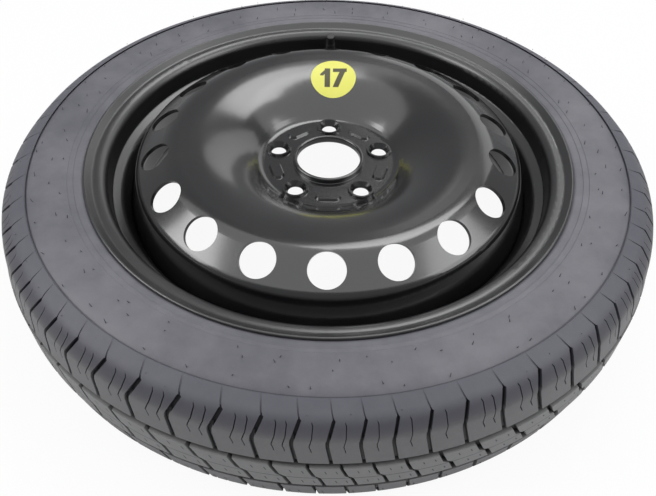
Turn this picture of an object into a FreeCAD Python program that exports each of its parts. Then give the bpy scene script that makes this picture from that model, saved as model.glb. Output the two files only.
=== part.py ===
"""A temporary spare wheel lying on its inboard side: tyre, welded steel wheel and snap-in valve.

Millimetres, +Z up along the axle, origin on the axle at the floor.
Profiles are drawn as radius and height and turned about +Z.
"""

import FreeCAD, Part

import math
import os

import Sketcher

doc = FreeCAD.newDocument("spare_wheel")
V = FreeCAD.Vector

# Driving dimensions: alias, value, meaning
SIZES = [
    ("tyre_diameter", 631.8, "outside diameter of the tyre"),
    ("section_width", 122.8, "width over the sidewalls"),
    ("tread_inset", 17.8, "distance of the tread edge inside the sidewall"),
    ("crown_drop", 6.2, "fall of the tread from its middle to its edge"),
    ("tread_round", 150, "radius of the tread across a rib"),
    ("edge_round", 5, "radius of the tread edge"),
    ("widest_share", 0.55, "share of the section height where the sidewall is widest"),
    ("flat_share", 0.236, "share of the section height that is flattest"),
    ("shoulder_inset", 6.9, "distance of the shoulder inside the sidewall"),
    ("shoulder_fall", 0.108, "fall from the tread edge to the shoulder as a share of the section height"),
    ("shoulder_share", 0.266, "radius of the shoulder as a share of the section height"),
    ("upper_share", 2.4, "radius of the sidewall's outer bend as a share of the run to the shoulder"),
    ("lower_share", 2.6, "radius of the sidewall's inner bend as a share of the run to the rim's lip"),
    ("groove_pitch", 33.4, "distance between the two tread grooves"),
    ("groove_width", 5.4, "width of a tread groove"),
    ("groove_depth", 6.5, "depth of a tread groove"),
    ("groove_draft", 0.54, "lean of a groove's sides"),
    ("cut_width", 2.9, "width of a cut across the tread"),
    ("cut_depth", 4.9, "depth of a cut beside the groove"),
    ("cut_tilt", 20, "slope of a shoulder cut's floor in degrees"),
    ("cut_kink", 41, "distance of a shoulder cut's kink from the tread's middle"),
    ("cut_end", 53.7, "distance of a shoulder cut's end from the tread's middle"),
    ("cut_sway", 5, "sideways run of a cut to its kink"),
    ("rib_sway", 7.7, "sideways run of a cut in the middle rib to each side"),
    ("rib_jog", 2.2, "sideways jog of that cut at the middle"),
    ("tread_rubber", 13, "thickness of the tyre under the tread"),
    ("lining_inset", 2, "distance of the lining's corner inside the tread edge"),
    ("lining_share", 0.65, "radius of the lining's corner as a share of the run to the widest place"),
    ("sidewall_rubber", 7, "thickness of the sidewall"),
    ("bead_width", 15, "width of the bead on its seat"),
    ("bead_height", 24, "height of the thick part of the bead"),
    ("bead_gap", 0.6, "gap between the tyre and the rim flange"),
    ("bead_round", 6.5, "radius of the bead's heel"),
    ("cushion_reach", 2.4, "reach of the tyre past the end of the rim's lip"),
    ("cushion_round", 6, "radius of the tyre past that lip"),
    ("filler_round", 30, "radius of the lining over the bead"),
    ("bulge_share", 0.9, "radius of the lining's bulge as a share of the run to the bead"),
    ("seat_diameter", 436.6, "diameter of the bead seat at the flange"),
    ("rim_width", 101.6, "width between the rim flanges"),
    ("rim_plate", 2.8, "thickness of the rim sheet"),
    ("seat_width", 21, "width of the bead seat"),
    ("seat_round", 3, "bend radius at the seat's inner edge"),
    ("seat_taper", 5, "taper of the bead seat in degrees"),
    ("flange_height", 16.7, "height of the flange above its seat"),
    ("lip_rise", 6, "radial length of the turned lip"),
    ("lip_reach", 5.2, "axial reach of the turned lip"),
    ("lip_round", 5, "bend radius of the lip"),
    ("heel_round", 7.5, "bend radius between seat and flange"),
    ("ledge_drop", 12.5, "depth of the ledge beside the seat"),
    ("ledge_height", 25, "height of the ledge above the rim's middle"),
    ("ledge_round", 5, "bend radius of the ledge"),
    ("well_drop", 17.9, "depth of the well below the seat"),
    ("well_upper", 12, "upper end of the well above the rim's middle"),
    ("well_lower", 22, "lower end of the well below the rim's middle"),
    ("well_round", 8, "bend radius at the well"),
    ("disc_plate", 3.6, "thickness of the disc"),
    ("wheel_offset", 31.2, "height of the hub face above the rim's middle"),
    ("centre_bore", 63.4, "diameter of the centre bore"),
    ("collar_height", 7.4, "height of the collar above the hub face sheet"),
    ("collar_round", 2.4, "bend radius of the collar"),
    ("hub_diameter", 138, "diameter of the flat hub area"),
    ("hub_round", 12, "bend radius round the hub area"),
    ("bowl_share", 0.395, "place of the bowl's bend between the hub area and the crest"),
    ("bowl_rise", 28, "rise from the hub area to that bend"),
    ("bowl_bend", 1.37, "bend radius of the bowl as a share of the run from the hub area to the crest"),
    ("crest_inset", 33.5, "distance of the crest inside the ramp's outer edge"),
    ("crest_rise", 34.5, "rise from the hub area to the crest"),
    ("crest_bend", 0.286, "bend radius of the crest as a share of that run"),
    ("ramp_inset", 10.7, "distance of the ramp's outer edge inside the skirt"),
    ("ramp_fall", 19.3, "fall from the crest to the ramp's outer edge"),
    ("ramp_round", 9, "bend radius at the ramp's outer edge"),
    ("skirt_upper", 10, "upper end of the disc's straight skirt above the rim's middle"),
    ("skirt_lower", 9, "lower end of that skirt below the rim's middle"),
    ("skirt_round", 12, "bend radius of the skirt"),
    ("vent_inset", 18.9, "distance of the vent holes inside the ramp's outer edge"),
    ("vent_diameter", 32.5, "diameter of a vent hole"),
    ("bolt_circle", 108, "diameter of the circle of bolt holes"),
    ("bolt_hole", 15, "diameter of a bolt hole"),
    ("bolt_seat", 21, "diameter of the conical bolt seat"),
    ("boss_diameter", 27, "diameter of the boss round a bolt hole"),
    ("boss_rise", 2.6, "height of that boss"),
    ("pad_length", 13, "straight length of a raised pad"),
    ("pad_width", 15, "width of a raised pad"),
    ("pad_rise", 2.2, "height of a raised pad"),
    ("pad_draft", 35, "slope of a pad's sides in degrees"),
    ("weld_leg", 3.4, "leg of the disc weld"),
    ("weld_sweep", 26, "length of each weld in degrees"),
    ("label_diameter", 49, "diameter of the round label"),
    ("label_thick", 0.25, "thickness of the label"),
    ("label_out", 7.8, "distance of the label outside the bowl's bend"),
    ("label_angle", 88, "place of the label round the axle in degrees"),
    ("valve_drop", 10.8, "depth of the valve seat below the bead seat"),
    ("valve_rise", 2.6, "height of the valve seat above the ledge"),
    ("valve_tilt", 15, "lean of the valve towards the axle in degrees"),
    ("valve_hole", 11.3, "diameter of the valve hole"),
    ("pocket_diameter", 21.5, "outside diameter of the pressed valve pocket"),
    ("pocket_depth", 9, "depth of that pocket"),
    ("bulb_diameter", 15.4, "diameter of the valve's rubber bulb"),
    ("bulb_length", 9, "length of the bulb under the seat"),
    ("bulb_taper", 2.5, "narrowing of the bulb towards its end"),
    ("bulb_band", 2, "straight length of the bulb under the seat"),
    ("bulb_round", 1, "radius of the bulb's edges"),
    ("foot_diameter", 14.6, "diameter of the rubber foot on the seat"),
    ("foot_height", 2, "height of that foot"),
    ("foot_round", 0.8, "radius of the edges of the foot and stem"),
    ("stem_flare", 0.8, "widening of the rubber stem at the foot"),
    ("flare_height", 3, "height of that widening above the foot"),
    ("flare_round", 2, "bend radius of that widening"),
    ("rubber_diameter", 10.6, "diameter of the rubber stem at its top"),
    ("rubber_length", 23, "length of the rubber stem"),
    ("stem_diameter", 6.4, "diameter of the brass stem in the rubber"),
    ("thread_diameter", 7.7, "diameter of the stem's thread"),
    ("stem_length", 31, "height of the stem's end above the seat"),
    ("stem_round", 0.5, "radius of the stem's end"),
    ("core_diameter", 4.6, "diameter of the core barrel"),
    ("core_length", 14, "length of the core barrel"),
    ("core_depth", 1.4, "depth of the barrel's top below the stem's end"),
    ("core_wall", 0.65, "wall of the core barrel"),
    ("pin_diameter", 1.3, "diameter of the valve pin"),
    ("pin_guide", 0.25, "gap round the pin in its guide"),
    ("pin_tail", 2, "length of the pin under the barrel"),
    ("pin_head", 0.9, "height of the pin's end above the barrel"),
    ("pin_round", 0.3, "radius of the pin's end"),
    ("collar_share", 0.62, "place of the pin's collar along the barrel"),
    ("collar_thick", 0.8, "thickness of that collar"),
    ("seal_height", 1.6, "height of the pin's seal"),
    ("seal_inset", 0.5, "distance of the seal's edge inside the barrel"),
    ("seal_recess", 0.5, "depth of the recess in the seal"),
    ("wire_diameter", 0.45, "wire of the core spring"),
    ("cap_diameter", 10.4, "outside diameter of the cap"),
    ("cap_length", 10.6, "length of the cap"),
    ("cap_play", 0.3, "gap between the cap and the thread"),
    ("cap_roof", 1.5, "thickness of the cap's roof"),
    ("cap_lean", 0.4, "narrowing of the cap towards its roof"),
    ("cap_round", 1.2, "radius of the cap's roof"),
    ("washer_thick", 1.2, "thickness of the sealing washer in the cap"),
    ("washer_hole", 0.4, "gap of the washer round the barrel"),
    ("washer_play", 0.3, "gap between the washer and the cap"),
]
BOLTS = 5
VENTS = 18
PITCHES = 68
WELDS = 8
SPRING_TURNS = 7

sheet = doc.addObject("Spreadsheet::Sheet", "Sizes")
for row, (alias, number, meaning) in enumerate(SIZES, start=1):
    sheet.set(f"A{row}", meaning)
    sheet.set(f"B{row}", str(number))
    sheet.setAlias(f"B{row}", alias)
doc.recompute()


def size(alias):
    """Cell of one size, for use in an expression."""
    return f"Sizes.{alias}"


def value(expression):
    return float(sheet.evalExpression(expression))


# Heights and radii that several pieces share
MIDDLE = "(Sizes.section_width / 2)"
SEAT = "(Sizes.seat_diameter / 2)"
HALF_RIM = "(Sizes.rim_width / 2)"
HALF_PLATE = "(Sizes.rim_plate / 2)"
HALF_DISC = "(Sizes.disc_plate / 2)"
TAPER = "(Sizes.seat_width * tan(Sizes.seat_taper))"
HUB_LINE = f"({MIDDLE} + Sizes.wheel_offset + {HALF_DISC})"
SECTION = f"(Sizes.tyre_diameter / 2 - {SEAT})"
WIDEST = f"({SEAT} + {SECTION} * Sizes.widest_share)"
LEDGE = f"({SEAT} - Sizes.ledge_drop)"
WELL = f"({SEAT} - Sizes.well_drop)"
SKIRT_RADIUS = f"({WELL} - {HALF_PLATE} - {HALF_DISC})"
SKIRT_END = f"({MIDDLE} - Sizes.skirt_lower - {HALF_DISC})"
RAMP_EDGE = f"({SKIRT_RADIUS} - Sizes.ramp_inset)"
CREST = f"({RAMP_EDGE} - Sizes.crest_inset)"
HUB_EDGE = "(Sizes.hub_diameter / 2)"
BOWL = f"({HUB_EDGE} + ({CREST} - {HUB_EDGE}) * Sizes.bowl_share)"
BOWL_ROUND = f"(({CREST} - {HUB_EDGE}) * Sizes.bowl_bend)"
CREST_ROUND = f"(({CREST} - {HUB_EDGE}) * Sizes.crest_bend)"
RAMP_ANGLE = "atan(Sizes.ramp_fall / Sizes.crest_inset)"
FLANGE_LINE = f"({HALF_RIM} + {HALF_PLATE})"
LIP_RADIUS = f"({SEAT} + Sizes.flange_height - {HALF_PLATE})"
LIP_ANGLE = "atan(Sizes.lip_reach / Sizes.lip_rise)"
VALVE_PLACE = (
    f"placement(vector(0; {SEAT} - Sizes.valve_drop; {MIDDLE} + Sizes.ledge_height + Sizes.valve_rise);"
    " rotation(vector(1; 0; 0); Sizes.valve_tilt))"
)


def corner_arc(before, corner, after, radius):
    """Tangent points and centre of a round between two straight runs, and whether it turns left."""
    to_before = (before - corner).normalize()
    to_after = (after - corner).normalize()
    half = to_before.getAngle(to_after) / 2
    reach = radius / math.tan(half)
    inward = (to_before + to_after).normalize()
    centre = corner + inward * (radius / math.sin(half))
    left = to_before.cross(to_after).z < 0
    return corner + to_before * reach, corner + to_after * reach, centre, left


def draw_path(sketch, corners, closed):
    """Straight runs between corners given as (radius, height, round), each bound to its expressions."""
    places = [V(value(x), value(z), 0) for x, z, bend in corners]
    count = len(corners)
    enters, leaves, arcs = [], [], {}
    for i, (x, z, bend) in enumerate(corners):
        if bend is None:
            enters.append(places[i])
            leaves.append(places[i])
            continue
        start, end, centre, left = corner_arc(places[i - 1], places[i], places[(i + 1) % count], value(bend))
        enters.append(start)
        leaves.append(end)
        first, last = (start, end) if left else (end, start)
        angles = [math.atan2(p.y - centre.y, p.x - centre.x) for p in (first, last)]
        circle = Part.Circle(centre, V(0, 0, 1), value(bend))
        arcs[i] = (Part.ArcOfCircle(circle, angles[0], angles[1]), left)
    runs = count if closed else count - 1
    lines = [
        sketch.addGeometry(Part.LineSegment(leaves[i], enters[(i + 1) % count]), False) for i in range(runs)
    ]
    for i, (x, z, bend) in enumerate(corners):
        before = lines[i - 1] if closed or i > 0 else None
        after = lines[i] if i < runs else None
        if bend is None:
            point = (after, 1) if after is not None else (before, 2)
            if before is not None and after is not None:
                sketch.addConstraint(Sketcher.Constraint("Coincident", before, 2, after, 1))
        else:
            shape, left = arcs[i]
            arc = sketch.addGeometry(shape, False)
            entry, exit_end = (1, 2) if left else (2, 1)
            sketch.addConstraint(Sketcher.Constraint("Tangent", before, 2, arc, entry))
            sketch.addConstraint(Sketcher.Constraint("Tangent", arc, exit_end, after, 1))
            radius = sketch.addConstraint(Sketcher.Constraint("Radius", arc, value(bend)))
            sketch.setExpression(f"Constraints[{radius}]", bend)
            point = (sketch.addGeometry(Part.Point(places[i]), True), 1)
            sketch.addConstraint(Sketcher.Constraint("PointOnObject", point[0], 1, before))
            sketch.addConstraint(Sketcher.Constraint("PointOnObject", point[0], 1, after))
        if x == "0":
            sketch.addConstraint(Sketcher.Constraint("PointOnObject", point[0], point[1], -2))
        else:
            across = sketch.addConstraint(Sketcher.Constraint("DistanceX", point[0], point[1], places[i].x))
            sketch.setExpression(f"Constraints[{across}]", x)
        up = sketch.addConstraint(Sketcher.Constraint("DistanceY", point[0], point[1], places[i].y))
        sketch.setExpression(f"Constraints[{up}]", z)


def profile(name, corners, closed=False):
    """A free sketch in the plane of radius and height."""
    sketch = doc.addObject("Sketcher::SketchObject", name)
    sketch.Placement = FreeCAD.Placement(V(0, 0, 0), FreeCAD.Rotation(V(1, 0, 0), 90))
    draw_path(sketch, corners, closed)
    return sketch


def turned_body(label, corners, place=None):
    """A body turned about its own axis from a closed profile."""
    body = doc.addObject("PartDesign::Body", label)
    sketch = body.newObject("Sketcher::SketchObject", label + "_profile")
    plane = next(f for f in body.Origin.OriginFeatures if f.Role == "XZ_Plane")
    sketch.AttachmentSupport = [(plane, "")]
    sketch.MapMode = "FlatFace"
    draw_path(sketch, corners, True)
    turn = body.newObject("PartDesign::Revolution", label + "_turn")
    turn.Profile = sketch
    turn.ReferenceAxis = (sketch, ["V_Axis"])
    turn.Angle = 360
    if place:
        body.setExpression("Placement", place)
    return body


def turn_about_axle(source, name, sweep="360"):
    turned = doc.addObject("Part::Revolution", name)
    turned.Source = source
    turned.Axis = V(0, 0, 1)
    turned.Solid = True
    turned.setExpression("Angle", sweep)
    return turned


def sheet_section(path, name, half_thickness):
    """Section of a pressed sheet that follows its middle line."""
    section = doc.addObject("Part::Offset2D", name)
    section.Source = path
    section.Mode = "Pipe"
    section.Join = "Intersection"
    section.Fill = True
    section.setExpression("Value", half_thickness)
    return section


def cylinder(name, radius, height, place):
    tool = doc.addObject("Part::Cylinder", name)
    tool.setExpression("Radius", radius)
    tool.setExpression("Height", height)
    tool.setExpression("Placement", place)
    return tool


def cone(name, lower, upper, height, place):
    tool = doc.addObject("Part::Cone", name)
    tool.setExpression("Radius1", lower)
    tool.setExpression("Radius2", upper)
    tool.setExpression("Height", height)
    tool.setExpression("Placement", place)
    return tool


def spun(angle, x, z, tilt="0"):
    """Placement turned about the axle, then set out along the radius and tilted."""
    return (
        f"placement(vector(0; 0; 0); rotation(vector(0; 0; 1); {angle}))"
        f" * placement(vector({x}; 0; {z}); rotation(vector(0; 1; 0); {tilt}))"
    )


def fused(name, pieces):
    union = doc.addObject("Part::MultiFuse", name)
    union.Shapes = pieces
    return union


def cut(name, base, tool):
    result = doc.addObject("Part::Cut", name)
    result.Base = base
    result.Tool = tool
    return result


# Tyre: one closed section with two tread grooves and two beads
def tyre_half(side):
    """Outer corners from the tread's middle to the bead toe, then the corners of the inside."""

    def height(offset):
        return f"{MIDDLE} + {side} * ({offset})"

    crown = "Sizes.tyre_diameter / 2"
    edge = f"{MIDDLE} - Sizes.tread_inset"

    def crown_at(offset):
        return f"{crown} - Sizes.crown_drop * pow(({offset}) / ({edge}); 2)"

    near = "Sizes.groove_pitch / 2 - Sizes.groove_width / 2"
    far = "Sizes.groove_pitch / 2 + Sizes.groove_width / 2"
    floor = f"{crown} - Sizes.groove_depth"
    draft = size("groove_draft")
    rib_middle = f"({far} + {edge}) / 2"
    top = f"{crown} - Sizes.crown_drop"
    clear = f"({HALF_PLATE} + Sizes.bead_gap)"
    shoulder = f"({top} - {SECTION} * Sizes.shoulder_fall)"
    upper_flat = f"({WIDEST} + {SECTION} * Sizes.flat_share / 2)"
    lower_flat = f"({WIDEST} - {SECTION} * Sizes.flat_share / 2)"
    lip_run = f"(Sizes.lip_rise / cos({LIP_ANGLE}) + Sizes.cushion_reach)"
    bend = f"({LIP_RADIUS} - Sizes.lip_rise)"
    cushion = f"({bend} + {clear} * sin({LIP_ANGLE}) + {lip_run} * cos({LIP_ANGLE}))"
    bead_top = f"({SEAT} + Sizes.bead_height)"
    lining = f"({crown} - Sizes.tread_rubber)"
    outer = [
        (crown, height(near), None),
        (floor, height(f"{near} + {draft}"), None),
        (floor, height(f"{far} - {draft}"), None),
        (crown_at(far), height(far), None),
        (crown_at(rib_middle), height(rib_middle), size("tread_round")),
        (top, height(edge), size("edge_round")),
        (shoulder, height(f"{MIDDLE} - Sizes.shoulder_inset"), f"{SECTION} * Sizes.shoulder_share"),
        (upper_flat, height(MIDDLE), f"({shoulder} - {upper_flat}) * Sizes.upper_share"),
        (lower_flat, height(MIDDLE), f"({lower_flat} - {cushion}) * Sizes.lower_share"),
        (
            cushion,
            height(f"{FLANGE_LINE} - {clear} * cos({LIP_ANGLE}) + {lip_run} * sin({LIP_ANGLE})"),
            size("cushion_round"),
        ),
        (
            f"{bend} + {clear} * tan({LIP_ANGLE} / 2)",
            height(f"{HALF_RIM} - Sizes.bead_gap"),
            f"Sizes.lip_round + {clear}",
        ),
        (SEAT, height(f"{HALF_RIM} - Sizes.bead_gap"), size("bead_round")),
        (
            f"{SEAT} - Sizes.bead_width * tan(Sizes.seat_taper)",
            height(f"{HALF_RIM} - Sizes.bead_width"),
            None,
        ),
    ]
    inner = [
        (bead_top, height(f"{HALF_RIM} - Sizes.sidewall_rubber"), size("filler_round")),
        (
            WIDEST,
            height(f"{MIDDLE} - Sizes.sidewall_rubber"),
            f"({WIDEST} - {bead_top}) * Sizes.bulge_share",
        ),
        (lining, height(f"{edge} - Sizes.lining_inset"), f"({lining} - {WIDEST}) * Sizes.lining_share"),
    ]
    return outer, inner


upper_outer, upper_inner = tyre_half("1")
lower_outer, lower_inner = tyre_half("-1")
tyre = turned_body(
    "tyre",
    upper_outer + upper_inner + lower_inner[::-1] + lower_outer[::-1],
)


# Tread cuts: one kinked cut in each shoulder and one in the middle rib, repeated round the tyre
def tread_cut(label, path, start, tilt, turn):
    """A cut along a path of (sideways, height from the middle), open outwards from a sloping floor."""
    sketch = tyre.newObject("Sketcher::SketchObject", label + "_outline")
    sketch.setExpression(
        "Placement",
        f"placement(vector(0; 0; 0); rotation(vector(0; 0; 1); {turn} * 360 / {PITCHES}))"
        f" * placement(vector(Sizes.tyre_diameter / 2 - Sizes.cut_depth; 0; {MIDDLE} + {start});"
        f" rotation(vector(0; 1; 0); -{tilt}))"
        " * placement(vector(0; 0; 0); rotation(vector(1; 1; 1); 120))",
    )
    near = [(f"({x}) - Sizes.cut_width / 2", f"(({z}) - {start}) / cos({tilt})", None) for x, z in path]
    far = [(f"({x}) + Sizes.cut_width / 2", f"(({z}) - {start}) / cos({tilt})", None) for x, z in path]
    draw_path(sketch, near + far[::-1], True)
    pocket = tyre.newObject("PartDesign::Pocket", label)
    pocket.Profile = sketch
    pocket.setExpression("Length", "Sizes.cut_depth * 4")
    pocket.Reversed = True
    return pocket


def shoulder_path(side):
    return [
        ("0", f"{side} * Sizes.groove_pitch / 2"),
        (f"-{side} * Sizes.cut_sway", f"{side} * Sizes.cut_kink"),
        ("0", f"{side} * Sizes.cut_end"),
    ]


rib_path = [
    ("-Sizes.rib_sway", "Sizes.groove_pitch / 2"),
    ("-Sizes.rib_jog", "Sizes.rib_jog / 2"),
    ("Sizes.rib_jog", "-Sizes.rib_jog / 2"),
    ("Sizes.rib_sway", "-Sizes.groove_pitch / 2"),
]
cuts = [
    tread_cut("upper_cut", shoulder_path("1"), "(Sizes.groove_pitch / 2)", size("cut_tilt"), "0"),
    tread_cut("lower_cut", shoulder_path("-1"), "(-Sizes.groove_pitch / 2)", "(-Sizes.cut_tilt)", "0.35"),
    tread_cut("rib_cut", rib_path, "0", "0", "0.5"),
]
doc.recompute()
cut_ring = tyre.newObject("PartDesign::PolarPattern", "cut_ring")
cut_ring.Originals = cuts
cut_ring.Axis = (next(f for f in tyre.Origin.OriginFeatures if f.Role == "Z_Axis"), [""])
cut_ring.Angle = 360
cut_ring.Occurrences = PITCHES
tyre.Tip = cut_ring


# Rim: a rolled sheet with two seats, two ledges and a well
def rim_half(side, well_end):
    def height(offset):
        return f"{MIDDLE} + {side} * ({offset})"

    seat_end = f"{HALF_RIM} - Sizes.seat_width"
    return [
        (LIP_RADIUS, height(f"{FLANGE_LINE} + Sizes.lip_reach"), None),
        (f"{LIP_RADIUS} - Sizes.lip_rise", height(FLANGE_LINE), size("lip_round")),
        (f"{SEAT} - {HALF_PLATE}", height(FLANGE_LINE), size("heel_round")),
        (f"{SEAT} - {HALF_PLATE} - {TAPER}", height(seat_end), size("seat_round")),
        (LEDGE, height("Sizes.ledge_height"), size("ledge_round")),
        (WELL, height(well_end), size("well_round")),
    ]


rim_path = profile(
    "rim_path",
    rim_half("1", size("well_upper")) + rim_half("-1", size("well_lower"))[::-1],
)
rim_section = sheet_section(rim_path, "rim_section", HALF_PLATE)
rolled_rim = turn_about_axle(rim_section, "rolled_rim")
pocket = cylinder(
    "pocket",
    "Sizes.pocket_diameter / 2",
    "Sizes.pocket_depth",
    f"{VALVE_PLACE} * placement(vector(0; 0; -Sizes.pocket_depth); rotation(vector(0; 0; 1); 0))",
)
pocket_room = cylinder(
    "pocket_room",
    "Sizes.pocket_diameter / 2 - Sizes.rim_plate * 0.9",
    "Sizes.pocket_depth * 2",
    f"{VALVE_PLACE} * placement(vector(0; 0; -Sizes.rim_plate - Sizes.pocket_depth * 2);"
    " rotation(vector(0; 0; 1); 0))",
)
seat_room = cylinder("seat_room", "Sizes.pocket_diameter / 2", "Sizes.pocket_depth", VALVE_PLACE)
valve_bore = cylinder(
    "valve_bore",
    "Sizes.valve_hole / 2",
    "Sizes.pocket_depth * 2",
    f"{VALVE_PLACE} * placement(vector(0; 0; -Sizes.pocket_depth); rotation(vector(0; 0; 1); 0))",
)
rim = cut(
    "rim",
    fused("pressed_rim", [rolled_rim, pocket]),
    fused("valve_cuts", [pocket_room, seat_room, valve_bore]),
)

# Disc: a pressed dish with a collar, bolt bosses, raised pads and vent holes
collar_line = f"Sizes.centre_bore / 2 + {HALF_DISC}"
disc_path = profile(
    "disc_path",
    [
        (collar_line, f"{HUB_LINE} + Sizes.collar_height - {HALF_DISC}", None),
        (collar_line, HUB_LINE, size("collar_round")),
        (HUB_EDGE, HUB_LINE, size("hub_round")),
        (BOWL, f"{HUB_LINE} + Sizes.bowl_rise", BOWL_ROUND),
        (CREST, f"{HUB_LINE} + Sizes.crest_rise", CREST_ROUND),
        (RAMP_EDGE, f"{HUB_LINE} + Sizes.crest_rise - Sizes.ramp_fall", size("ramp_round")),
        (SKIRT_RADIUS, f"{MIDDLE} + Sizes.skirt_upper", size("skirt_round")),
        (SKIRT_RADIUS, f"{SKIRT_END} + {HALF_DISC}", None),
    ],
)
disc_section = sheet_section(disc_path, "disc_section", HALF_DISC)
dish = turn_about_axle(disc_section, "dish")

hub_top = f"({HUB_LINE} + {HALF_DISC})"
hub_face = f"({HUB_LINE} - {HALF_DISC})"
bolt_radius = "Sizes.bolt_circle / 2"
bosses, seats, holes, vents = [], [], [], []
for i in range(BOLTS):
    angle = f"90 + {i} * 360 / {BOLTS}"
    bosses.append(
        cone(
            f"boss_{i}",
            "Sizes.boss_diameter / 2",
            "Sizes.boss_diameter / 2 - Sizes.boss_rise / 2",
            f"Sizes.boss_rise + {HALF_DISC}",
            spun(angle, bolt_radius, HUB_LINE),
        )
    )
    holes.append(
        cylinder(
            f"bolt_hole_{i}",
            "Sizes.bolt_hole / 2",
            "Sizes.disc_plate * 2 + Sizes.boss_rise * 2",
            spun(angle, bolt_radius, f"{hub_face} - Sizes.disc_plate"),
        )
    )
    seat_depth = "(Sizes.bolt_seat - Sizes.bolt_hole) / 2 * tan(60)"
    seats.append(
        cone(
            f"bolt_seat_{i}",
            "Sizes.bolt_hole / 2",
            "Sizes.bolt_seat / 2",
            seat_depth,
            spun(angle, bolt_radius, f"{hub_top} + Sizes.boss_rise - {seat_depth}"),
        )
    )
ramp_height = (
    f"{HUB_LINE} + Sizes.crest_rise"
    " - (Sizes.crest_inset - Sizes.vent_inset) * Sizes.ramp_fall / Sizes.crest_inset"
)
for i in range(VENTS):
    vents.append(
        cylinder(
            f"vent_{i}",
            "Sizes.vent_diameter / 2",
            "Sizes.disc_plate * 4",
            spun(f"-90 + {i} * 360 / {VENTS}", f"{RAMP_EDGE} - Sizes.vent_inset", ramp_height, RAMP_ANGLE)
            + " * placement(vector(0; 0; -2 * Sizes.disc_plate); rotation(vector(0; 0; 1); 0))",
        )
    )


def pads(label, height, rise, shrink, downward):
    """Five drafted oblong pads half way between the bolt holes."""
    body = doc.addObject("PartDesign::Body", label)
    sketch = body.newObject("Sketcher::SketchObject", label + "_outline")
    plane = next(f for f in body.Origin.OriginFeatures if f.Role == "XY_Plane")
    sketch.AttachmentSupport = [(plane, "")]
    sketch.MapMode = "FlatFace"
    reach = "Sizes.bolt_circle / 2"
    half_width = f"(Sizes.pad_width / 2 - {shrink})"
    half_length = "Sizes.pad_length / 2"
    middle, half, length = value(reach), value(half_width), value(half_length)
    inner_side = Part.LineSegment(V(middle - half, length, 0), V(middle - half, -length, 0))
    outer_side = Part.LineSegment(V(middle + half, -length, 0), V(middle + half, length, 0))
    left = sketch.addGeometry(inner_side, False)
    right = sketch.addGeometry(outer_side, False)
    lower_round = Part.ArcOfCircle(Part.Circle(V(middle, -length, 0), V(0, 0, 1), half), math.pi, 2 * math.pi)
    upper_round = Part.ArcOfCircle(Part.Circle(V(middle, length, 0), V(0, 0, 1), half), 0, math.pi)
    near_end = sketch.addGeometry(lower_round, False)
    far_end = sketch.addGeometry(upper_round, False)
    for first, first_end, second, second_end in (
        (left, 2, near_end, 1),
        (near_end, 2, right, 1),
        (right, 2, far_end, 1),
        (far_end, 2, left, 1),
    ):
        sketch.addConstraint(Sketcher.Constraint("Tangent", first, first_end, second, second_end))
    for kind, centre, sign in (("DistanceY", near_end, "-"), ("DistanceY", far_end, "")):
        place = sketch.addConstraint(Sketcher.Constraint(kind, centre, 3, float(sign + "1") * length))
        sketch.setExpression(f"Constraints[{place}]", f"{sign}{half_length}")
    across = sketch.addConstraint(Sketcher.Constraint("DistanceX", near_end, 3, middle))
    sketch.setExpression(f"Constraints[{across}]", reach)
    wide = sketch.addConstraint(Sketcher.Constraint("Radius", near_end, half))
    sketch.setExpression(f"Constraints[{wide}]", half_width)
    lift = body.newObject("PartDesign::Pad", label + "_lift")
    lift.Profile = sketch
    lift.setExpression("Length", rise)
    lift.setExpression("TaperAngle", "-Sizes.pad_draft")
    lift.Reversed = downward
    doc.recompute()
    ring = body.newObject("PartDesign::PolarPattern", label + "_ring")
    ring.Originals = [lift]
    ring.Axis = (next(f for f in body.Origin.OriginFeatures if f.Role == "Z_Axis"), [""])
    ring.Angle = 360
    ring.Occurrences = BOLTS
    body.Tip = ring
    turn = f"90 + 180 / {BOLTS}"
    body.setExpression("Placement", f"placement(vector(0; 0; {height}); rotation(vector(0; 0; 1); {turn}))")
    return body


raised = pads("raised_pads", HUB_LINE, f"Sizes.pad_rise + {HALF_DISC}", "0", False)
recessed = pads("pad_recesses", hub_face, "Sizes.pad_rise", "Sizes.pad_rise * 0.6", False)
pressed_disc = fused("pressed_disc", [dish, raised] + bosses)
wheel_disc = cut("wheel_disc", pressed_disc, fused("disc_cuts", [recessed] + seats + holes + vents))

# Fillet welds under the skirt
weld_path = profile(
    "weld_path",
    [
        (f"{SKIRT_RADIUS} + {HALF_DISC}", SKIRT_END, None),
        (f"{SKIRT_RADIUS} + {HALF_DISC}", f"{SKIRT_END} - Sizes.weld_leg", None),
        (f"{SKIRT_RADIUS} + {HALF_DISC} - Sizes.weld_leg", SKIRT_END, None),
    ],
    closed=True,
)
welds = []
for i in range(WELDS):
    bead = turn_about_axle(weld_path, f"weld_{i}", size("weld_sweep"))
    bead.setExpression(
        "Placement", f"placement(vector(0; 0; 0); rotation(vector(0; 0; 1); {i} * 360 / {WELDS}))"
    )
    welds.append(bead)
disc_welds = doc.addObject("Part::Compound", "disc_welds")
disc_welds.Links = welds

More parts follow.
